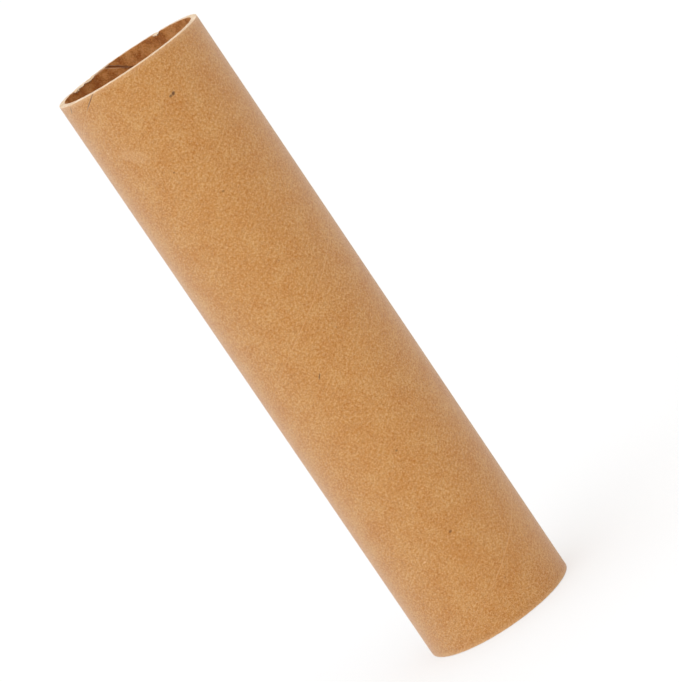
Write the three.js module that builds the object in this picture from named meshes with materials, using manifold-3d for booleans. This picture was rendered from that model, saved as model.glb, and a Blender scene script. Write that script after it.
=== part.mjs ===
// A kraft cardboard tube, wound in a spiral from glued paper plies and cut square at both ends.
// Millimetres, +Z along the tube. The origin is the middle of the end that the tube stands on.
import * as THREE from "three";
import { mergeVertices } from "three/addons/utils/BufferGeometryUtils.js";
import Module from "manifold-3d";

// The tube
const tubeLength = 202.5;
const outerDiameter = 49;
const wallThickness = 2;
const edgeRounding = 0.25; // the knife leaves each corner of the wall slightly rounded

// The spiral winding: a ply's edge climbs at this angle from the ring of the tube
const windingAngle = 33;

// The butt seam of the outermost ply, a hairline gap between one turn of the strip and the next
const outerSeamGap = 0.35;
const outerPlyThickness = 0.2;
const outerSeamHeight = 111.9; // where the seam crosses the front of the tube
const outerSeamAngle = -90; // the front, in degrees from +X

// The butt seam of the innermost ply, which faces the bore and is left wider
const innerSeamGap = 0.8;
const innerPlyThickness = 0.4;
const innerSeamHeight = 197.6; // where the seam crosses the back of the bore
const innerSeamAngle = 90; // the back

// Where the knife tore the innermost plies out of the upper rim: the angle of each tear from +X, and its size
// around the rim, into the wall and down the bore
const rimTears = [
  { angle: 140, around: 5.2, intoWall: 0.75, down: 0.7 },
  { angle: 124, around: 6.4, intoWall: 0.55, down: 0.45 },
  { angle: 60, around: 2.6, intoWall: 0.7, down: 0.6 },
];

// How finely the round forms are cut into facets
const facetsAround = 96; // a multiple of 4, so that corners of the facets lie on both axes
const cornerDivisions = 1; // each gives the rounded corner two facets
const facetsPerTear = 12;

const outerRadius = outerDiameter / 2;
const innerRadius = outerRadius - wallThickness;
const seamRise = Math.PI * outerDiameter * Math.tan(THREE.MathUtils.degToRad(windingAngle)); // in one turn
const cutOverlap = 1; // how far a cutter stands out of the wall that it cuts
const weldDistance = 1e-3; // corners closer than this are one corner

const kraft = new THREE.MeshStandardMaterial({ color: 0xca9059, roughness: 0.85, metalness: 0 });
kraft.name = "kraft_board";

const wasm = await Module();
wasm.setup();

// A closed geometry as a solid that can be joined and cut
function solidFrom(geometry) {
  geometry.deleteAttribute("normal");
  geometry.deleteAttribute("uv");
  const merged = mergeVertices(geometry, weldDistance);
  return new wasm.Manifold(
    new wasm.Mesh({
      numProp: 3,
      vertProperties: merged.attributes.position.array,
      triVerts: new Uint32Array(merged.index.array),
    }),
  );
}

// A solid as a geometry with flat-shaded normals
function geometryFrom(solid) {
  const mesh = solid.getMesh();
  const geometry = new THREE.BufferGeometry();
  geometry.setAttribute("position", new THREE.BufferAttribute(mesh.vertProperties, mesh.numProp));
  geometry.setIndex(new THREE.BufferAttribute(mesh.triVerts, 1));
  const flat = geometry.toNonIndexed();
  flat.computeVertexNormals();
  return flat;
}

// The wall of the tube: its section, a tall rectangle with rounded corners, turned round the Z axis
function wallBlank() {
  const r = edgeRounding;
  const section = new THREE.Path();
  section.moveTo(outerRadius, r);
  section.lineTo(outerRadius, tubeLength - r);
  section.absarc(outerRadius - r, tubeLength - r, r, 0, Math.PI / 2);
  section.absarc(innerRadius + r, tubeLength - r, r, Math.PI / 2, Math.PI);
  section.absarc(innerRadius + r, r, r, Math.PI, 1.5 * Math.PI);
  section.absarc(outerRadius - r, r, r, 1.5 * Math.PI, 2 * Math.PI);
  const wall = new THREE.LatheGeometry(section.getPoints(cornerDivisions), facetsAround);
  wall.rotateX(Math.PI / 2);
  return wall;
}

// A strip that is laid flat, with X round the tube in facets, Y up the tube and Z out from its axis, and then
// wound, so that it climbs with the plies. It runs past both ends, and passes through height at angle.
function spiralStrip({ gap, fromRadius, toRadius, height, angle }) {
  const beyondEnds = 2 * gap + cutOverlap;
  const firstTurn = (-beyondEnds - height) / seamRise;
  const lastTurn = (tubeLength + beyondEnds - height) / seamRise;
  const halfFacet = 0.5; // the strip's facets meet over the middles of the wall's, so that no two edges coincide
  const firstFacet = Math.floor(firstTurn * facetsAround) - halfFacet;
  const lastFacet = Math.ceil(lastTurn * facetsAround) + halfFacet;
  const gapAlongTube = gap / Math.cos(THREE.MathUtils.degToRad(windingAngle));

  const facets = lastFacet - firstFacet;
  const strip = new THREE.BoxGeometry(facets, gapAlongTube, toRadius - fromRadius, facets, 1, 1);
  strip.translate((firstFacet + lastFacet) / 2, 0, (fromRadius + toRadius) / 2);

  const startAngle = THREE.MathUtils.degToRad(angle);
  const corner = strip.attributes.position;
  for (let i = 0; i < corner.count; i++) {
    const turns = corner.getX(i) / facetsAround;
    const radius = corner.getZ(i);
    const turned = startAngle + turns * 2 * Math.PI;
    const along = height + turns * seamRise + corner.getY(i);
    corner.setXYZ(i, radius * Math.cos(turned), radius * Math.sin(turned), along);
  }
  return strip;
}

// A lens-shaped bite out of the inner corner of the upper rim
function rimTear({ angle, around, intoWall, down }) {
  const tear = new THREE.SphereGeometry(1, facetsPerTear, facetsPerTear / 2);
  tear.scale(intoWall, around / 2, down);
  tear.translate(innerRadius, 0, tubeLength);
  tear.rotateZ(THREE.MathUtils.degToRad(angle));
  return tear;
}

function cardboardTube() {
  const outerSeam = spiralStrip({
    gap: outerSeamGap,
    fromRadius: outerRadius - outerPlyThickness,
    toRadius: outerRadius + cutOverlap,
    height: outerSeamHeight,
    angle: outerSeamAngle,
  });
  const innerSeam = spiralStrip({
    gap: innerSeamGap,
    fromRadius: innerRadius - cutOverlap,
    toRadius: innerRadius + innerPlyThickness,
    height: innerSeamHeight,
    angle: innerSeamAngle,
  });

  let tube = solidFrom(wallBlank());
  tube = tube.subtract(solidFrom(outerSeam));
  tube = tube.subtract(solidFrom(innerSeam));
  for (const tear of rimTears) tube = tube.subtract(solidFrom(rimTear(tear)));

  const mesh = new THREE.Mesh(geometryFrom(tube), kraft);
  mesh.name = "tube";
  return mesh;
}

const part = new THREE.Group();
part.name = "cardboard_tube";
part.add(cardboardTube());

export default part;
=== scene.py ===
# %% [markdown]
# A cardboard tube, wound in a spiral
#
# The object is a plain kraft cardboard tube, 202.5 mm long and 49 mm across. A machine winds
# several strips of brown paper round a steel mandrel, each glued to the one below, and a knife
# cuts the endless tube into lengths. So three things give a real tube its look: the paper itself,
# the hairline seam where one turn of the outermost strip meets the next, and the pale, slightly
# torn board at the cut ends.
#
# The measured solid comes in first. Everything after this is fitted to it, and nothing here is
# moved or resized.

import math

import bmesh
import bpy
import numpy as np
from mathutils import Matrix, Vector


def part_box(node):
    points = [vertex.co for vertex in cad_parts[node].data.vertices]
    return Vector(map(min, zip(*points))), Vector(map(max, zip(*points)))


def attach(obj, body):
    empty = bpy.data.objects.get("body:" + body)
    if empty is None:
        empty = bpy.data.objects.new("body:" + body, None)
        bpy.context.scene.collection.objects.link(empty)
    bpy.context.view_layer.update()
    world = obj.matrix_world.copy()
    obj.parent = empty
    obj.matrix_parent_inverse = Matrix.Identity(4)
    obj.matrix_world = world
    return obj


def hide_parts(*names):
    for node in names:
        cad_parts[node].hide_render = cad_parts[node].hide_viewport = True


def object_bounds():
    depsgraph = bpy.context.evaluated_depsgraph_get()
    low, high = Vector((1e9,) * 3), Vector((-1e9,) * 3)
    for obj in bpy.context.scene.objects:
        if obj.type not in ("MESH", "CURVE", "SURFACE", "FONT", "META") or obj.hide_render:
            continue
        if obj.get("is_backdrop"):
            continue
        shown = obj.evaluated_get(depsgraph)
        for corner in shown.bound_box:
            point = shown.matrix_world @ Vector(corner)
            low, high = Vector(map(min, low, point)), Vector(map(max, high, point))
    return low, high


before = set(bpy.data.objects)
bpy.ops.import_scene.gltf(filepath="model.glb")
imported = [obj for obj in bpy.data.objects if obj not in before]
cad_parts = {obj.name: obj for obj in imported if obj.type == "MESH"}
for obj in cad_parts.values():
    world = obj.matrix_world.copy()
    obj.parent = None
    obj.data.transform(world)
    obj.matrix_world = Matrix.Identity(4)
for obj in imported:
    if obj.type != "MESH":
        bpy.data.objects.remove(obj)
cad_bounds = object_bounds()
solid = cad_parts["tube"]
low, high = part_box("tube")
print("the solid spans", [round(1000 * side, 2) for side in high - low], "mm")

# %% [markdown]
# The sizes are read off the solid where that is possible. Its box gives the length and the outer
# radius. The point nearest to the axis lies on the wall of the bore. That wall is made of flat
# facets, so this point can lie a hundredth of a millimetre inside the true circle, and rounding
# to a tenth brings it back.
#
# The winding can't be measured so easily, so it is stated: a strip that climbs at 33 degrees goes
# round once in two thirds of a circumference of height. The two seams are placed by the height at
# which they cross a known line. A gap is as wide as stated only near the upper rim. Elsewhere it
# is closed to the stated share.

# %% Sizes of the tube and of its winding
mm = 0.001
solid_points = np.array([corner.co for corner in solid.data.vertices])
from_axis = np.hypot(solid_points[:, 0], solid_points[:, 1])

tube_length = high.z - low.z
outer_radius = (high.x - low.x) / 2
inner_radius = round(float(from_axis.min()), 4)
corner_radius = 0.25 * mm
inner_corner_radius = 0.1 * mm

winding_angle = math.radians(33)
rise_per_turn = 2 * math.pi * outer_radius * math.tan(winding_angle)
front, back = -math.pi / 2, math.pi / 2

outer_seam = {
    "radius": outer_radius,
    "passes": (front, 111.9 * mm),
    "gap": 0.35 * mm,
    "depth": 0.14 * mm,
    "closed": 0.22,
}
inner_seam = {
    "radius": inner_radius,
    "passes": (back, 197.6 * mm),
    "gap": 0.8 * mm,
    "depth": 0.2 * mm,
    "closed": 0.2,
}


def seam_height(seam, angle):
    """How high a seam lies at an angle from +X. Other turns are whole rises above and below."""
    start_angle, start_height = seam["passes"]
    return start_height + rise_per_turn * (angle - start_angle) / (2 * math.pi)


wall_thickness = outer_radius - inner_radius
print("the wall is", round(wall_thickness / mm, 2), "mm thick")
print("a strip climbs", round(rise_per_turn / mm, 1), "mm in a turn")

# %% [markdown]
# The wall could be a plain cylinder with a bump map for the seam. Here it is made the way the
# real one is: each face of the wall is one long strip that winds round the axis, and the seam is
# the small gap between one turn and the next. The rows of the mesh run along the strip and the
# columns run up the tube, so the gap is a pair of clean edges, however steeply it climbs.
#
# Across one strip the rows are spread evenly, apart from a few at its edges, where the surface
# dips over a small rounded lip into the gap.

# %% The rows across one strip
rows_across_strip = 40
lip = 0.06 * mm


def strip_section(seam):
    """Places above the seam, across one strip, and how deep the surface lies at each of them."""
    half_gap = seam["gap"] / math.cos(winding_angle) / 2
    margin = half_gap + 6 * lip
    plain = np.linspace(margin, rise_per_turn - margin, rows_across_strip)
    # from the floor of the gap over its edge: a place, and the share of the depth at it
    lower_lip = [
        (0, 1),
        (0.85 * half_gap, 1),
        (half_gap, 0.25),
        (half_gap + lip, 0),
        (half_gap + 3 * lip, 0),
    ]
    upper_lip = [(rise_per_turn - place, share) for place, share in reversed(lower_lip) if place > 0]
    section = lower_lip + [(place, 0) for place in plain] + upper_lip
    return [place for place, share in section], [share * seam["depth"] for place, share in section]


print("each strip has", len(strip_section(outer_seam)[0]), "rows across")

# %% [markdown]
# A column holds this pattern of rows once for each turn. Going round the tube once brings a
# column back to itself one turn higher, so the last column joins the first with its rows shifted
# by one pattern. The strip runs past both ends, where it will be cut.
#
# Glue holds the seam almost shut for most of its length. Near the upper rim it was never pressed
# down so well, and there it opens to its full width and depth. So the rows close to the seam are
# drawn together and up to the surface, except in the last few millimetres.

# %% A strip wound in a spiral
columns = 360
past_the_end = 3 * mm
opening_starts = 6 * mm
opening_takes = 4 * mm


def wound_face(seam, outward):
    """Points and quads of one face of the wall. outward is 1 for the outside and -1 for the bore."""
    places, depths = strip_section(seam)
    lowest = math.floor((-past_the_end - seam_height(seam, math.pi)) / rise_per_turn)
    highest = math.ceil((tube_length + past_the_end - seam_height(seam, -math.pi)) / rise_per_turn)
    turns = np.arange(lowest, highest + 1)
    above_seam = (turns[:, None] * rise_per_turn + np.array(places)).ravel()
    depth = np.tile(depths, len(turns))

    angle = -math.pi + 2 * math.pi * np.arange(columns) / columns
    height = seam_height(seam, angle)[:, None] + above_seam

    off_seam = above_seam - rise_per_turn * np.round(above_seam / rise_per_turn)
    at_lip = np.abs(off_seam) < seam["gap"]
    opening = (height - tube_length + opening_starts) / opening_takes
    openness = np.clip(opening, seam["closed"], 1)
    height = np.where(at_lip, height - off_seam * (1 - openness), height)
    radius = seam["radius"] - outward * depth * openness
    x, y = radius * np.cos(angle)[:, None], radius * np.sin(angle)[:, None]
    grid = np.stack([x, y, height], axis=-1)

    rows = len(above_seam)
    quads = []
    for column in range(columns):
        last = column == columns - 1
        here = column * rows
        beside = len(places) if last else here + rows
        shared_rows = len(places) if last else 0
        for row in range(rows - 1 - shared_rows):
            quad = (here + row, beside + row, beside + row + 1, here + row + 1)
            quads.append(quad if outward > 0 else quad[::-1])
    return grid.reshape(-1, 3), quads


outer_points, outer_quads = wound_face(outer_seam, 1)
inner_points, inner_quads = wound_face(inner_seam, -1)
print(len(outer_quads), "quads outside and", len(inner_quads), "inside, before the ends are cut")

# %% [markdown]
# The knife goes square through the endless tube. A bisect with a horizontal plane does the same
# to the mesh: it adds points wherever an edge crosses the plane and takes away what lies past it.
# A few more such planes just inside each end take nothing away. They only add rings of points,
# which a later step needs to round the corners of the wall and to break bits out of it.

# %% Cut both ends square
ring_depths = [0.034 * mm, 0.125 * mm, corner_radius, 0.45 * mm, 0.75 * mm, 1.1 * mm, 1.6 * mm]

wall = bmesh.new()
for points, quads in ((outer_points, outer_quads), (inner_points, inner_quads)):
    made = [wall.verts.new(point) for point in points]
    for quad in quads:
        wall.faces.new([made[index] for index in quad])


def slice_wall(height, direction, clear):
    """Cuts the wall at a height. What lies beyond it in the direction goes if clear is true."""
    everything = wall.verts[:] + wall.edges[:] + wall.faces[:]
    place, normal = (0, 0, height), (0, 0, direction)
    bmesh.ops.bisect_plane(wall, geom=everything, plane_co=place, plane_no=normal, clear_outer=clear)


slice_wall(tube_length, 1, clear=True)
slice_wall(0, -1, clear=True)
for ring_depth in ring_depths:
    slice_wall(tube_length - ring_depth, 1, clear=False)
    slice_wall(ring_depth, -1, clear=False)
print(len(wall.verts), "points after the cut")

# %% [markdown]
# At each end the outside and the bore now stop in an open ring. Bridging the two rings makes the
# cut face of the wall, a flat washer two millimetres wide, and a few rings across it leave room
# for the rough edges of the plies. No edge may stay open, because a solid wall has none.

# %% Close the cut faces
rings_on_cut_face = 6
same_height = 1e-7


def close_end(height):
    """Bridges the outer and the inner ring at one end, and adds rings across the new faces."""
    open_rings = [edge for edge in wall.edges if edge.is_boundary]
    rim = [edge for edge in open_rings if all(abs(v.co.z - height) < same_height for v in edge.verts)]
    faces = bmesh.ops.bridge_loops(wall, edges=rim)["faces"]
    rim_edges = set(rim)
    across = {e for face in faces for e in face.edges if e not in rim_edges}
    bmesh.ops.subdivide_edges(wall, edges=list(across), cuts=rings_on_cut_face)


close_end(tube_length)
close_end(0)
wide_faces = [face for face in wall.faces if len(face.verts) > 4]
bmesh.ops.triangulate(wall, faces=wide_faces)
open_edges = sum(not edge.is_manifold for edge in wall.edges)
print(len(wall.faces), "faces,", open_edges, "open edges")

# %% [markdown]
# Now the ends get their wear. In a few places the knife dragged the innermost plies with it and
# tore them out. A tear is stated by its angle and its half width in degrees, how deep it goes
# into the wall, how far down the bore it reaches, and how much it lowers the rim. The fourth one
# has no hole in it: over a wide stretch the whole rim was cut a bit low.
#
# Nothing torn or cut with a knife is quite even. A few sine waves with picked counts and phases,
# added up, give a wandering line that closes on itself after one turn.

# %% Where the rim is torn
tears = [
    {"angle": 142, "half_width": 4.5, "into_wall": 0.75 * mm, "down": 0.75 * mm, "drop": 0.2 * mm},
    {"angle": 133, "half_width": 4.5, "into_wall": 0.55 * mm, "down": 0.55 * mm, "drop": 0.02 * mm},
    {"angle": 123, "half_width": 5.0, "into_wall": 0.6 * mm, "down": 0.6 * mm, "drop": 0.15 * mm},
    {"angle": 127, "half_width": 24, "into_wall": 0.0, "down": 0.5 * mm, "drop": 0.14 * mm},
    {"angle": 59, "half_width": 2.8, "into_wall": 0.7 * mm, "down": 0.6 * mm, "drop": 0.3 * mm},
]
waves_added = 5
tear_bluntness = 0.6


def ripple(angle, waves, seed):
    """A smooth wandering line round the tube, between about -1 and 1, that closes on itself."""
    picks = np.random.default_rng(seed)
    counts = picks.integers(waves // 2, 2 * waves, waves_added)
    phases = picks.uniform(0, 2 * math.pi, waves_added)
    heights = [math.sin(count * angle + phase) for count, phase in zip(counts, phases)]
    return sum(heights) / (waves_added / 2)


def tear_share(tear, angle):
    """1 in the middle of a tear and 0 beyond its sides."""
    apart = abs(math.degrees(angle) - tear["angle"]) / tear["half_width"]
    return max(0.0, 1 - apart**2) ** tear_bluntness


print(len(tears), "torn or lowered stretches of the rim")

# %% [markdown]
# Each point near an end now moves. The corners of the wall are rounded as a quarter circle, the
# rim is lowered by an uneven few hundredths of a millimetre, and the tears cut into it. Every
# change is strongest at the very end and dies away over its own reach, up the wall or across it.
#
# Each point also keeps a number that says how bare the board is there: 1 on the cut and in the
# tears, 0 where the brown paper still covers it.

# %% Round the corners and wear the rim
middle_radius = (outer_radius + inner_radius) / 2
unevenness = 0.03 * mm
uneven_reach = 0.75 * mm
rounding_reach = 0.45 * mm
lowering_reach = 1.6 * mm
hollow_reach = 1.2 * mm


def nearness(distance, reach):
    """1 at no distance, falling evenly to 0 at the reach."""
    return max(0.0, 1 - distance / reach)


bare_layer = wall.verts.layers.float.new("bare_board")
deepest_drop = 0.0
for point in wall.verts:
    x, y, z = point.co
    angle, radius = math.atan2(y, x), math.hypot(x, y)
    from_end = max(0.0, min(z, tube_length - z))
    if from_end > max(ring_depths) + same_height:
        continue
    top = z > tube_length / 2
    side = 1 if radius > middle_radius else -1
    from_face = abs(radius - (outer_radius if side > 0 else inner_radius))
    on_face = from_end < same_height

    # the corner of the wall is a quarter circle
    corner = corner_radius if side > 0 else inner_corner_radius
    above_corner = max(0.0, corner - from_end)
    rounding = corner - math.sqrt(corner**2 - above_corner**2)
    radius -= side * rounding * nearness(from_face, rounding_reach)

    # the knife never cuts quite level
    uneven = unevenness * max(0.0, 1 + ripple(angle, 40, 1 if side > 0 else 2))
    drop = uneven * nearness(from_end, uneven_reach)

    # a tear lowers the rim and, on the side of the bore, takes a bite out of the wall
    torn = 0.0
    if top:
        for tear in tears:
            share = tear_share(tear, angle) * (0.85 + 0.3 * ripple(angle, 120, 3))
            drop += share * tear["drop"] * nearness(from_end, lowering_reach)
            if side < 0 and share > 0:
                hollow = nearness(from_end, tear["down"]) * nearness(from_face, hollow_reach)
                radius += share * tear["into_wall"] * hollow
                torn = max(torn, min(1.0, 3 * share * hollow))
    direction = -1 if top else 1
    deepest_drop = max(deepest_drop, drop)
    point.co = (radius * math.cos(angle), radius * math.sin(angle), z + direction * drop)
    point[bare_layer] = max(torn, 1.0 if on_face else 0.0)

print("the upper rim is lowered by up to", round(deepest_drop / mm, 2), "mm")

# %% [markdown]
# The mesh becomes an object. Its faces are sorted into three finishes by where they lie: the
# outside, the bore and the cut at both ends.

# %% The tube as one piece
bmesh.ops.recalc_face_normals(wall, faces=wall.faces)

OUTSIDE, INSIDE, CUT = range(3)
level_face = 0.5
crease = math.radians(50)
for face in wall.faces:
    face.smooth = True
    centre = face.calc_center_median()
    if abs(face.normal.z) > level_face:
        face.material_index = CUT
    else:
        face.material_index = OUTSIDE if math.hypot(centre.x, centre.y) > middle_radius else INSIDE

tube_mesh = bpy.data.meshes.new("wound_tube")
wall.to_mesh(tube_mesh)
wall.free()
tube_mesh.set_sharp_from_angle(angle=crease)
tube = bpy.data.objects.new("wound_tube", tube_mesh)
bpy.context.scene.collection.objects.link(tube)
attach(tube, "root")
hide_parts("tube")
print("the tube has", sum(len(face.vertices) - 2 for face in tube_mesh.polygons), "triangles")

# %% [markdown]
# Bits of the torn plies still hang from the rim, folded down over the bore. Each one is a small
# sheet of paper between two angles, in degrees: wide where it is still attached, ragged along its
# free edge, and lifted off the wall at the tip, so that it catches the light and throws a small
# shadow below itself.

# %% Flakes of torn paper
flakes = [
    {"from": 146.5, "to": 139.5, "reach": 0.8 * mm, "lift": 0.55 * mm, "seed": 4},
    {"from": 140.5, "to": 130.5, "reach": 0.6 * mm, "lift": 0.35 * mm, "seed": 5},
    {"from": 130.5, "to": 119.5, "reach": 0.8 * mm, "lift": 0.45 * mm, "seed": 6},
    {"from": 62.5, "to": 56.0, "reach": 0.55 * mm, "lift": 0.6 * mm, "seed": 7},
]
root_in_wall = 0.28 * mm
root_below_rim = 0.13 * mm
steps_along, steps_down = 28, 8


def flake_sheet(mesh, flake):
    """Adds one ragged flake to a mesh."""
    start, end = math.radians(flake["from"]), math.radians(flake["to"])
    sheet = []
    for i in range(steps_along + 1):
        share = i / steps_along
        angle = start + (end - start) * share
        # how far down the bore it hangs here, wavy and frayed, and how far its tip stands off
        coarse, fine = ripple(angle, 90, flake["seed"]), ripple(angle, 400, flake["seed"] + 20)
        ragged = max(0.15, 0.75 + 0.3 * coarse + 0.15 * fine)
        reach = flake["reach"] * math.sin(math.pi * share) ** 0.45 * ragged
        curl = flake["lift"] * (0.8 + 0.3 * ripple(angle, 60, flake["seed"] + 40))
        column = []
        for j in range(steps_down + 1):
            down = j / steps_down
            radius = inner_radius + root_in_wall * (1 - down) - curl * down**1.4
            height = tube_length - root_below_rim - reach * down
            column.append(mesh.verts.new((radius * math.cos(angle), radius * math.sin(angle), height)))
        sheet.append(column)
    for left, right in zip(sheet, sheet[1:]):
        for j in range(steps_down):
            mesh.faces.new((left[j], left[j + 1], right[j + 1], right[j]))


print("a flake has", steps_along * steps_down, "faces before it gets its thickness")

# %% [markdown]
# All the flakes go into one mesh. Solidify gives the thin sheets a thickness, and the piece rides
# on the same body as the tube.

# %% The torn paper as one piece
flake_thickness = 0.1 * mm

torn_paper = bmesh.new()
for flake in flakes:
    flake_sheet(torn_paper, flake)
bmesh.ops.recalc_face_normals(torn_paper, faces=torn_paper.faces)
bmesh.ops.solidify(torn_paper, geom=torn_paper.faces[:], thickness=flake_thickness)
for face in torn_paper.faces:
    face.smooth = True
flake_mesh = bpy.data.meshes.new("torn_paper")
torn_paper.to_mesh(flake_mesh)
torn_paper.free()
flake_piece = bpy.data.objects.new("torn_paper", flake_mesh)
bpy.context.scene.collection.objects.link(flake_piece)
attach(flake_piece, "root")
print(len(flakes), "flakes hang from the rim")

# %% [markdown]
# The rest of the look is paper. Its colours are written as they would be on a screen, from 0 to
# 255, and changed to the linear values that the shader adds and multiplies.

# %% Colours


def screen_colour(red, green, blue):
    """A colour as a screen shows it, in the linear values that a shader works with."""
    shares = [value / 255 for value in (red, green, blue)]
    linear = [s / 12.92 if s <= 0.04045 else ((s + 0.055) / 1.055) ** 2.4 for s in shares]
    return (*linear, 1.0)


sample = screen_colour(198, 139, 71)
print("198, 139, 71 on a screen is", [round(value, 3) for value in sample[:3]], "in linear light")

# %% [markdown]
# A material is a recipe of small steps. A helper that adds one step and links what goes into it
# keeps each recipe short enough to read.

# %% A recipe for a material


class Recipe:
    """The steps of one material."""

    def __init__(self, name):
        self.material = bpy.data.materials.new(name)
        self.material.use_nodes = True
        self.tree = self.material.node_tree
        self.tree.nodes.clear()

    def step(self, kind, inputs, output=0, **settings):
        """Adds a node, sets it up and returns what comes out of it."""
        node = self.tree.nodes.new("ShaderNode" + kind)
        for setting, value in settings.items():
            setattr(node, setting, value)
        for socket, value in inputs.items():
            if isinstance(value, bpy.types.NodeSocket):
                self.tree.links.new(value, node.inputs[socket])
            else:
                node.inputs[socket].default_value = value
        return node.outputs[output]

    def sum(self, operation, *values):
        """Arithmetic on one, two or three numbers."""
        return self.step("Math", dict(enumerate(values)), operation=operation)

    def fade(self, value, start, end):
        """0 before start, 1 after end, and a smooth change between."""
        places = {"Value": value, "From Min": start, "From Max": end}
        return self.step("MapRange", places, interpolation_type="SMOOTHSTEP")

    def spread(self, value, low_value, high_value):
        """A number between 0 and 1 stretched between two others."""
        places = {"Value": value, "To Min": low_value, "To Max": high_value}
        return self.step("MapRange", places, clamp=False)

    def noise(self, place, size, detail=2.0, roughness=0.6):
        """Cloudy noise whose largest lumps are about as long as size."""
        inputs = {"Vector": place, "Scale": 1 / size, "Detail": detail, "Roughness": roughness}
        return self.step("TexNoise", inputs)

    def ramp(self, value, *stops):
        """Colours spread evenly from 0 to 1, with soft changes between them."""
        node = self.tree.nodes.new("ShaderNodeValToRGB")
        colours = node.color_ramp.elements
        colours[1].position = 1.0
        for number in range(1, len(stops) - 1):
            colours.new(number / (len(stops) - 1))
        for element, stop in zip(colours, stops):
            element.color = stop
        self.tree.links.new(value, node.inputs["Fac"])
        return node.outputs["Color"]

    def mix(self, share, under, over):
        """Lays one colour over another."""
        inputs = {"Factor": share, "A": under, "B": over}
        node = self.tree.nodes.new("ShaderNodeMix")
        node.data_type = "RGBA"
        for socket in node.inputs:
            value = inputs.get(socket.name)
            if value is None or not socket.enabled:
                continue
            if isinstance(value, bpy.types.NodeSocket):
                self.tree.links.new(value, socket)
            else:
                socket.default_value = value
        return next(socket for socket in node.outputs if socket.enabled)

    def surface(self, shader):
        """Ends the recipe with a shader and returns the material."""
        output = self.tree.nodes.new("ShaderNodeOutputMaterial")
        self.tree.links.new(shader, output.inputs["Surface"])
        return self.material

    def finish(self, colour, roughness, height, bump_distance, **steady):
        """Ends the recipe as paper. height drives the bump, and steady values go straight in."""
        bump = {"Height": height, "Distance": bump_distance, "Strength": 1.0}
        inputs = {"Base Color": colour, "Roughness": roughness, "Normal": self.step("Bump", bump)}
        inputs.update({name.replace("_", " "): value for name, value in steady.items()})
        return self.surface(self.step("BsdfPrincipled", inputs))


print("the steps, sums, fades, noises and mixes are ready")

# %% [markdown]
# Paper has a grain that runs along the strip, and the strip winds round the tube. So the pattern
# has to be laid out on the strip, not on the tube. The next helper unwinds a point of the wall:
# its angle and height give the turn of the strip that it lies on, how far along the strip it is,
# and how far across. The pattern then breaks only where the real paper breaks, at the seam, and
# nowhere else round the tube.
#
# How near the seam is, whichever side it lies on, is worked out here as well, for the looks of
# its edges.

# %% Unwind the strip


def unwind(recipe, seam):
    """Where a point of the wall lies: on its strip, on the tube, and how near the seam is."""
    place = recipe.step("TexCoord", {}, output="Object")
    x = recipe.step("SeparateXYZ", {"Vector": place}, output="X")
    y = recipe.step("SeparateXYZ", {"Vector": place}, output="Y")
    z = recipe.step("SeparateXYZ", {"Vector": place}, output="Z")
    angle = recipe.sum("ARCTAN2", y, x)
    seam_here = recipe.sum("MULTIPLY_ADD", angle, rise_per_turn / (2 * math.pi), seam_height(seam, 0))
    climb = recipe.sum("SUBTRACT", z, seam_here)
    turn = recipe.sum("FLOOR", recipe.sum("DIVIDE", climb, rise_per_turn))
    over_seam = recipe.sum("SUBTRACT", climb, recipe.sum("MULTIPLY", turn, rise_per_turn))
    near_seam = recipe.sum("MINIMUM", over_seam, recipe.sum("SUBTRACT", rise_per_turn, over_seam))
    wound = recipe.sum("MULTIPLY_ADD", turn, 2 * math.pi, angle)

    round_tube = recipe.sum("MULTIPLY", wound, seam["radius"] / math.cos(winding_angle))
    along = recipe.sum("MULTIPLY_ADD", over_seam, math.sin(winding_angle), round_tube)
    across = recipe.sum("MULTIPLY", over_seam, math.cos(winding_angle))
    on_strip = recipe.step("CombineXYZ", {"X": along, "Y": across})
    return {"place": place, "angle": angle, "z": z, "near_seam": near_seam, "strip": on_strip}


print("a strip is", round(rise_per_turn * math.cos(winding_angle) / mm, 1), "mm wide")

# %% [markdown]
# Kraft paper is brown because its wood fibres keep their lignin, and close up it is never one
# brown. Four layers make it: soft clouds a few millimetres across, where the pulp lay thicker, a
# fine grain, single fibres that show lighter or darker than the rest, and a few dark flecks of
# bark. Each layer is weak. Together they give the quiet, mottled look of the real paper.
#
# The fibres come first. A noise that is stretched in one direction gives strands. Four such
# noises are turned roughly along and across the strip, and only their brightest and darkest
# places count as a fibre.

# %% Single fibres
fibre_width = 0.18 * mm
fibre_runs = [(8, 2.2 * mm), (-24, 1.9 * mm), (62, 1.6 * mm), (110, 1.7 * mm)]
light_shows, dark_shows = (0.63, 0.71), (0.37, 0.29)


def lay(recipe, where, turned, along, across):
    """The strip's own coordinates, turned by some degrees and squeezed, for a pattern of long fibres."""
    turn = {"Vector": where, "Angle": math.radians(turned)}
    rotated = recipe.step("VectorRotate", turn, rotation_type="Z_AXIS")
    scale = {"Vector": rotated, "Scale": (1 / along, 1 / across, 1.0)}
    return recipe.step("Mapping", scale, vector_type="POINT")


def single_fibres(recipe, spot):
    """How clearly a light fibre and a dark one show at a point, each from 0 to 1."""
    fibres = []
    for turned, length in fibre_runs:
        laid = lay(recipe, spot["strip"], turned, length, fibre_width)
        fibres.append(recipe.step("TexNoise", {"Vector": laid, "Scale": 1.0, "Detail": 1.0}))
    lightest, darkest = fibres[0], fibres[0]
    for fibre in fibres[1:]:
        lightest = recipe.sum("MAXIMUM", lightest, fibre)
        darkest = recipe.sum("MINIMUM", darkest, fibre)
    return recipe.fade(lightest, *light_shows), recipe.fade(darkest, *dark_shows)


print("the fibres run", len(fibre_runs), "ways and are", round(fibre_width / mm, 2), "mm wide")

# %% [markdown]
# The flecks of bark sit at the points of a cellular pattern. Every cell has a random number: up
# to 0.8 it stays empty, and above that its fleck grows with the number.

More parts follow.
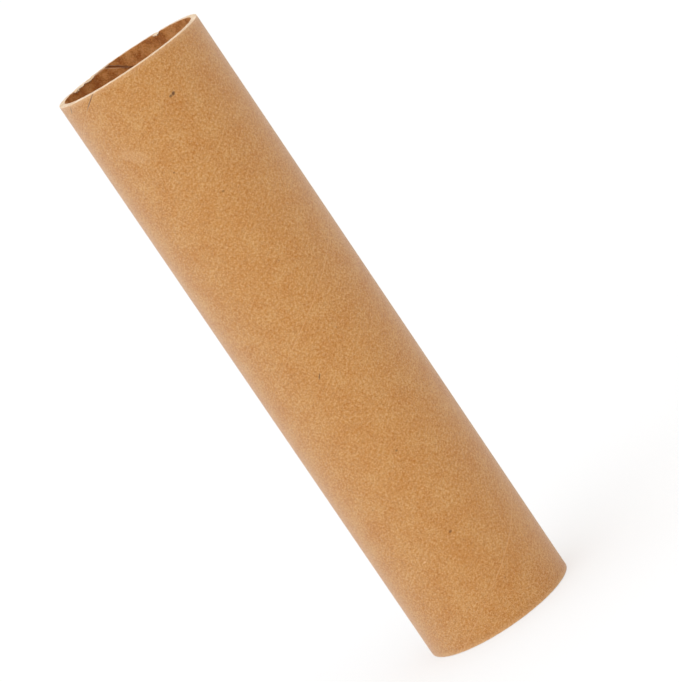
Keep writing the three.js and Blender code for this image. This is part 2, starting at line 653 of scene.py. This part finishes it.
# %% Flecks of bark
fleck_spacing = 3.2 * mm
empty_cells = 0.8
fleck_growth = 0.4
fleck_blur = 0.02


def bark_flecks(recipe, spot):
    """1 on a fleck of bark and 0 beside it."""
    cells = {"Vector": spot["strip"], "Scale": 1 / fleck_spacing, "Randomness": 1.0}
    cell_distance = recipe.step("TexVoronoi", cells, output="Distance")
    cell_pick = recipe.step("TexVoronoi", cells, output="Color")
    picked = recipe.step("SeparateColor", {"Color": cell_pick}, output="Red")
    above_empty = recipe.sum("SUBTRACT", picked, empty_cells)
    fleck_radius = recipe.sum("MULTIPLY", above_empty, fleck_growth)
    from_fleck = recipe.sum("SUBTRACT", cell_distance, fleck_radius)
    return recipe.fade(from_fleck, fleck_blur, -fleck_blur)


largest_fleck = 2 * (1 - empty_cells) * fleck_growth * fleck_spacing
print("the largest flecks are", round(largest_fleck / mm, 2), "mm across")

# %% [markdown]
# Clouds and grain together pick a brown between the deepest and the palest one. The fibres and
# the flecks lie over it, and the grain and the fibres also give the paper its faint relief.

# %% The kraft paper
LIGHT_FIBRE, DARK_FIBRE = screen_colour(226, 182, 132), screen_colour(154, 94, 40)
FLECK = screen_colour(112, 70, 36)
light_strength, dark_strength, fleck_strength = 0.4, 0.5, 0.5
grain_size = 0.76 * mm


def paper(recipe, spot, browns, grain_strength, cloud_strength, cloud_size):
    """The colour and the height of kraft paper. Its three browns run from deep to pale."""
    deep, middle, pale = browns
    clouds = recipe.noise(spot["strip"], cloud_size, detail=1.0)
    grain = recipe.noise(spot["strip"], grain_size, detail=2.0, roughness=1.0)
    tone = recipe.sum("MULTIPLY_ADD", grain, grain_strength, 0.5 - 0.5 * grain_strength)
    tone = recipe.sum("MULTIPLY_ADD", recipe.sum("SUBTRACT", clouds, 0.5), cloud_strength, tone)
    colour = recipe.ramp(tone, deep, middle, pale)

    bright, dark = single_fibres(recipe, spot)
    fleck = bark_flecks(recipe, spot)
    colour = recipe.mix(recipe.sum("MULTIPLY", bright, light_strength), colour, LIGHT_FIBRE)
    colour = recipe.mix(recipe.sum("MULTIPLY", dark, dark_strength), colour, DARK_FIBRE)
    colour = recipe.mix(recipe.sum("MULTIPLY", fleck, fleck_strength), colour, FLECK)

    height = recipe.sum("ADD", recipe.sum("SUBTRACT", bright, dark), grain)
    return colour, height, grain


print("the grain of the paper is", round(grain_size / mm, 2), "mm across")

# %% [markdown]
# Some marks sit at known places: bark specks and slivers, a small crack by the rim, painted dark
# as the shade inside it, and pale scuffs. Each is an ellipse on the unrolled wall, laid over the
# paper. Its place is an angle in degrees and a height in millimetres, its size is in millimetres,
# and it is turned by some degrees to lie the way it does.

# %% Marks on the outside
DARK, PALE = screen_colour(96, 56, 26), screen_colour(226, 184, 138)
marks = [
    {"at": (-76.6, 189.6), "size": (1.3, 1.0), "turned": 60, "colour": DARK, "strength": 0.9},
    {"at": (-79.2, 189.4), "size": (1.0, 0.8), "turned": 20, "colour": DARK, "strength": 0.7},
    {"at": (-102.8, 95.7), "size": (0.4, 2.1), "turned": -40, "colour": DARK, "strength": 0.8},
    {"at": (-87.3, 64.2), "size": (0.8, 0.6), "turned": 0, "colour": DARK, "strength": 0.6},
    {"at": (-87.8, 34.6), "size": (1.1, 0.7), "turned": 20, "colour": DARK, "strength": 0.6},
    {"at": (-107.0, 170.1), "size": (0.7, 0.5), "turned": -30, "colour": DARK, "strength": 0.55},
    {"at": (-86.0, 157.6), "size": (0.7, 0.5), "turned": 10, "colour": DARK, "strength": 0.55},
    {"at": (-156.0, 134.0), "size": (1.0, 0.6), "turned": 15, "colour": PALE, "strength": 0.7},
    {"at": (-145.4, 184.4), "size": (0.9, 0.6), "turned": 60, "colour": PALE, "strength": 0.7},
    {"at": (-115.6, 30.6), "size": (0.9, 0.6), "turned": 0, "colour": PALE, "strength": 0.7},
    {"at": (-125.4, 180.0), "size": (9.5, 4.0), "turned": -35, "colour": PALE, "strength": 0.22},
    # the crack by the rim: painted shade inside the crack
    {"at": (-153.8, 200.7), "size": (0.4, 2.8), "turned": -38, "colour": DARK, "strength": 0.7},
]
edge_size, edge_wander = 0.5 * mm, 0.9
mark_ends, mark_full = 1.75, 1.1


def lay_marks(recipe, spot, colour):
    """Lays each mark over a colour, with a rough edge."""
    rough_edge = recipe.noise(spot["place"], edge_size)
    for mark in marks:
        angle, height = math.radians(mark["at"][0]), mark["at"][1] * mm
        radius = outer_radius / mm
        round_tube = recipe.sum("MULTIPLY_ADD", spot["angle"], radius, -angle * radius)
        up_tube = recipe.sum("MULTIPLY_ADD", spot["z"], 1 / mm, -height / mm)
        centred = recipe.step("CombineXYZ", {"X": round_tube, "Y": up_tube})
        turn = {"Vector": centred, "Angle": -math.radians(mark["turned"])}
        turned = recipe.step("VectorRotate", turn, rotation_type="Z_AXIS")
        half_sizes = (2 / mark["size"][0], 2 / mark["size"][1], 0.0)
        shaped = recipe.step("VectorMath", {0: turned, 1: half_sizes}, operation="MULTIPLY")
        distance = recipe.step("VectorMath", {0: shaped}, output="Value", operation="LENGTH")
        ragged = recipe.sum("MULTIPLY_ADD", rough_edge, edge_wander, distance)
        inside_mark = recipe.fade(ragged, mark_ends, mark_full)
        share = recipe.sum("MULTIPLY", inside_mark, mark["strength"])
        colour = recipe.mix(share, colour, mark["colour"])
    return colour


print(len(marks), "marks lie on the outside")

# %% [markdown]
# Next to both cuts the knife has scuffed the paper. It gets a little paler over the last
# millimetre and a half, and the very edge shows the cream of bare board. The grain makes the
# border between them ragged.

# %% Scuffed edges
CREAM = screen_colour(233, 199, 164)
scuff_reach = 1.6 * mm
scuff_strength = 0.3


def bare_edge(recipe, spot, colour, grain):
    """Fades a colour into bare board at both cuts."""
    to_top = recipe.sum("SUBTRACT", tube_length, spot["z"])
    from_cut = recipe.sum("MINIMUM", to_top, spot["z"])
    ragged = recipe.sum("MULTIPLY_ADD", grain, -0.7 * mm, from_cut)
    scuffed = recipe.fade(ragged, scuff_reach, 0.0)
    colour = recipe.mix(recipe.sum("MULTIPLY", scuffed, scuff_strength), colour, PALE)
    bare = recipe.fade(ragged, 0.1 * mm, -0.25 * mm)
    return recipe.mix(bare, colour, CREAM)


print("the paper is scuffed up to", round(scuff_reach / mm, 1), "mm from each cut")

# %% [markdown]
# The outside gets the paper, the marks, the look of its seam and the scuffed edges. The seam reads
# as a faint, patchy light line: partly the pale inside of the sheet that the fuzzy cut edges of the
# strip show, and partly a painted highlight where those edges catch the light. In the last few
# millimetres below the upper rim it gapes, and there it is painted dark, as the shade in the gap.
#
# Paper also looks paler where it is seen at a slant, because loose fibres stand up from it and
# catch the light that comes in over the surface. The sheen of the shader does exactly that.

# %% Outside finish
outside = Recipe("kraft paper outside")
spot = unwind(outside, outer_seam)
kraft_browns = screen_colour(183, 113, 41), screen_colour(198, 139, 71), screen_colour(211, 163, 105)
kraft, kraft_height, kraft_grain = paper(outside, spot, kraft_browns, 3.8, 0.7, 7 * mm)
kraft = lay_marks(outside, spot, kraft)

FUZZ_AND_EDGE_HIGHLIGHT, GAP_SHADE = screen_colour(216, 161, 103), screen_colour(128, 82, 45)
# a faint light line along the seam: the pale fuzz of the cut edges, and a painted highlight where they catch
# the light
ragged_seam = outside.sum("MULTIPLY_ADD", kraft_grain, 0.35 * mm, spot["near_seam"])
seam_line = outside.fade(ragged_seam, 0.55 * mm, 0.35 * mm)
patches = outside.fade(outside.noise(spot["strip"], 9 * mm), 0.4, 0.6)
seam_strength = outside.spread(patches, 0.05, 0.5)
kraft = outside.mix(outside.sum("MULTIPLY", seam_line, seam_strength), kraft, FUZZ_AND_EDGE_HIGHLIGHT)
# painted shade in the open gap of the seam, in the last few millimetres below the upper rim
gaping = outside.fade(spot["z"], tube_length - 4.2 * mm, tube_length - 2.5 * mm)
gap_shade_line = outside.fade(spot["near_seam"], 0.26 * mm, 0.14 * mm)
kraft = outside.mix(outside.sum("MULTIPLY", gaping, gap_shade_line), kraft, GAP_SHADE)
kraft = bare_edge(outside, spot, kraft, kraft_grain)

outside_finish = outside.finish(
    kraft,
    outside.spread(kraft_grain, 0.9, 0.7),
    kraft_height,
    0.02 * mm,
    Specular_IOR_Level=0.4,
    Sheen_Weight=0.4,
    Sheen_Roughness=0.5,
)
print("outside finish has", len(outside.tree.nodes), "steps")

# %% [markdown]
# The bore is lined with the same kind of paper. An uneven dark band along its seam is painted
# shade, the shade that lies in the groove of the seam. Most of the light in there has already
# bounced off brown paper once or twice, so it reads as a deep rust brown.

# %% Inside finish
inside = Recipe("kraft paper inside")
spot = unwind(inside, inner_seam)
liner_browns = screen_colour(170, 99, 46), screen_colour(202, 134, 72), screen_colour(222, 159, 97)
liner, liner_height, liner_grain = paper(inside, spot, liner_browns, 2.6, 2.2, 3.5 * mm)
# painted shade of the seam's groove: an uneven dark band along the inner seam
SEAM_SHADE = screen_colour(112, 60, 28)
wander = inside.noise(spot["strip"], 3 * mm)
ragged_band = inside.sum("MULTIPLY_ADD", wander, 2.4 * mm, spot["near_seam"])
seam_shade_band = inside.fade(ragged_band, 2.0 * mm, 1.2 * mm)
liner = inside.mix(inside.sum("MULTIPLY", seam_shade_band, 0.85), liner, SEAM_SHADE)
torn = inside.step("Attribute", {}, output="Fac", attribute_name="bare_board")
liner = inside.mix(torn, liner, CREAM)

inside_finish = inside.finish(
    liner,
    inside.spread(liner_grain, 0.95, 0.8),
    liner_height,
    0.015 * mm,
    Specular_IOR_Level=0.2,
)
print("inside finish has", len(inside.tree.nodes), "steps")

# %% [markdown]
# The cut shows the board itself. The plies are stacked like the rings of a tree, each about a
# third of a millimetre, with a thin dark line of glue between one and the next, and the knife has
# left a cream fuzz of cut fibres over them. The rings come from the distance to the axis. The
# torn flakes are the same board without the rings.

# %% Cut finish
BOARD, PALE_BOARD = screen_colour(222, 193, 158), screen_colour(238, 216, 188)
HOLLOW_SHADE, GLUE = screen_colour(196, 156, 112), screen_colour(168, 120, 76)
ply_thickness = 0.34 * mm


def cut_board(name, with_plies):
    """Bare board, with the lines of its plies or without them."""
    recipe = Recipe(name)
    place = recipe.step("TexCoord", {}, output="Object")
    fuzz = recipe.noise(place, 0.6 * mm, detail=4, roughness=0.8)
    patches = recipe.noise(place, 4 * mm, detail=2)
    colour = recipe.mix(recipe.fade(patches, 0.35, 0.7), BOARD, PALE_BOARD)
    # painted shade: the board is darker where the fuzz lies low, in its hollows
    colour = recipe.mix(recipe.fade(fuzz, 0.5, 0.2), colour, HOLLOW_SHADE)
    height = fuzz
    if with_plies:
        level = recipe.step("VectorMath", {0: place, 1: (1.0, 1.0, 0.0)}, operation="MULTIPLY")
        radius = recipe.step("VectorMath", {0: level}, output="Value", operation="LENGTH")
        wandering = recipe.sum("MULTIPLY_ADD", fuzz, 0.12 * mm, radius)
        ring = recipe.sum("FRACT", recipe.sum("DIVIDE", wandering, ply_thickness))
        from_joint = recipe.sum("ABSOLUTE", recipe.sum("SUBTRACT", ring, 0.5))
        glue = recipe.fade(from_joint, 0.13, 0.04)
        colour = recipe.mix(recipe.sum("MULTIPLY", glue, 0.7), colour, GLUE)
        height = recipe.sum("MULTIPLY_ADD", glue, -0.6, fuzz)
    roughness = recipe.spread(fuzz, 1.0, 0.85)
    steady = {"Specular_IOR_Level": 0.25, "Sheen_Weight": 0.15}
    return recipe.finish(colour, roughness, height, 0.04 * mm, **steady)


cut_finish = cut_board("cut board", with_plies=True)
torn_finish = cut_board("torn board", with_plies=False)
for finish in (outside_finish, inside_finish, cut_finish):
    tube_mesh.materials.append(finish)
flake_mesh.materials.append(torn_finish)
print("the wall shows about", round(wall_thickness / ply_thickness), "plies at the cut")

# %% [markdown]
# The tube stands on a plain white floor in a bright room. To a lens such a floor looks white all
# the way to the horizon, and only the soft shadow round the foot of the tube shows where it is.
# The floor is therefore mostly a white that the camera sees as it is, with enough ordinary paint
# mixed in to keep that shadow.

# %% White as the camera sees it


def seen_directly(tree):
    """1 for what the camera sees, straight or in a shiny surface, and 0 for any other light."""
    path = tree.nodes.new("ShaderNodeLightPath")
    total = path.outputs["Is Camera Ray"]
    for ray in ("Is Glossy Ray", "Is Transmission Ray"):
        add = tree.nodes.new("ShaderNodeMath")
        add.operation = "MAXIMUM"
        tree.links.new(total, add.inputs[0])
        tree.links.new(path.outputs[ray], add.inputs[1])
        total = add.outputs[0]
    return total


print("the lens sees plain white, and the lamps meet paint")

# %% [markdown]
# The floor is a large flat square at the height of the lower end of the tube. It belongs to the
# stage, not to the part.

# %% Floor
floor_reach = 8.0
shadow_share = 0.5

floor_mesh = bpy.data.meshes.new("floor")
corner_signs = [(-1, -1), (1, -1), (1, 1), (-1, 1)]
corners = [(x * floor_reach, y * floor_reach, 0.0) for x, y in corner_signs]
floor_mesh.from_pydata(corners, [], [(0, 1, 2, 3)])
floor = bpy.data.objects.new("floor", floor_mesh)
bpy.context.scene.collection.objects.link(floor)
floor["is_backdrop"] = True

white_floor = Recipe("white floor")
paint = white_floor.step("BsdfDiffuse", {"Color": (0.9, 0.9, 0.9, 1.0)})
glow = white_floor.step("Emission", {"Color": (1.0, 1.0, 1.0, 1.0), "Strength": 1.0})
whiteness = white_floor.sum("MULTIPLY", seen_directly(white_floor.tree), 1 - shadow_share)
shown = white_floor.step("MixShader", {0: whiteness, 1: paint, 2: glow})
floor_mesh.materials.append(white_floor.surface(shown))
print("the floor reaches", floor_reach, "m to each side")

# %% [markdown]
# The room is bright on all sides, at half the strength of white. Where the camera looks past the
# floor, it sees plain white too.

# %% Room
room_light = 0.5

world = bpy.data.worlds.new("bright room")
bpy.context.scene.world = world
world.use_nodes = True
room = world.node_tree
room.nodes.clear()
background = room.nodes.new("ShaderNodeBackground")
strength = room.nodes.new("ShaderNodeMapRange")
strength.inputs["To Min"].default_value = room_light
strength.inputs["To Max"].default_value = 1.0
room.links.new(seen_directly(room), strength.inputs["Value"])
room.links.new(strength.outputs[0], background.inputs["Strength"])
room_output = room.nodes.new("ShaderNodeOutputWorld")
room.links.new(background.outputs[0], room_output.inputs["Surface"])
print("the room lights the tube at", room_light, "of white")

# %% [markdown]
# Four large soft lights add to the bright room: a window to the front left and a weaker one to
# the side, a weak fill to the front right, and the ceiling. The tube is lit almost evenly, and
# only turns a little darker to the right. A sun lamp with a wide disc does this well, because it
# lights every spot of the floor alike, wherever it stands. The windows are a little cool and the
# fill is warm, which keeps the left side of the paper paler and the right side browner.

# %% Lamps
disc_width = math.radians(60)


def soft_light(name, comes_from, share, colour):
    """A wide light from one side. A share of 1 lights a white sheet that faces it to plain white."""
    light = bpy.data.lights.new(name, "SUN")
    light.color = colour
    light.angle = disc_width
    light.energy = math.pi * share
    lamp = bpy.data.objects.new(name, light)
    lamp.location = comes_from
    lamp.rotation_euler = (-lamp.location).to_track_quat("-Z", "Y").to_euler()
    bpy.context.scene.collection.objects.link(lamp)


soft_light("window", (-1.2, -1.3, 0.6), 0.33, (0.97, 1.01, 1.07))
soft_light("side window", (-1.5, 0.5, 0.4), 0.12, (0.9, 1.05, 1.25))
soft_light("ceiling", (0.0, 0.1, 2.0), 0.6, (1.0, 1.0, 1.0))
soft_light("fill", (1.2, -1.3, 0.3), 0.14, (1.0, 0.84, 0.5))
print(len(bpy.data.lights), "soft lights")

# %% [markdown]
# The camera is a long way off with a long lens, so the sides of the tube stay nearly parallel. It
# looks slightly down, into the upper end, and it is rolled, so that the tube leans across the
# picture from top left to bottom right. The floor leans with it. The roll turns the camera about
# its own line of sight, which moves nothing.

# %% Camera
camera_data = bpy.data.cameras.new("camera")
camera_data.lens = 232.26
camera_data.sensor_width = 36
camera_data.clip_end = 50
camera = bpy.data.objects.new("camera", camera_data)
camera.location = (0, -1.3003, 0.34123)
aim = Vector((0.00543, 0, 0.09662))
roll = math.radians(34.07)
line_of_sight = (aim - camera.location).to_track_quat("-Z", "Y").to_matrix().to_4x4()
camera.rotation_euler = (line_of_sight @ Matrix.Rotation(-roll, 4, "Z")).to_euler()
bpy.context.scene.collection.objects.link(camera)
bpy.context.scene.camera = camera
bpy.context.scene.view_settings.view_transform = "Standard"
print("the camera is", round((aim - camera.location).length, 2), "m from what it looks at")

# %% [markdown]
# Last, the box of the dressed tube is set against the box of the solid, because the looks must
# not change the size.

# %% Compare the sizes
dressed_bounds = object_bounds()
sizes = {"cad": [list(corner) for corner in cad_bounds], "visual": [list(corner) for corner in dressed_bounds]}
for name, (lowest_corner, highest_corner) in sizes.items():
    print(name, "size", [round((b - a) / mm, 2) for a, b in zip(lowest_corner, highest_corner)], "mm")
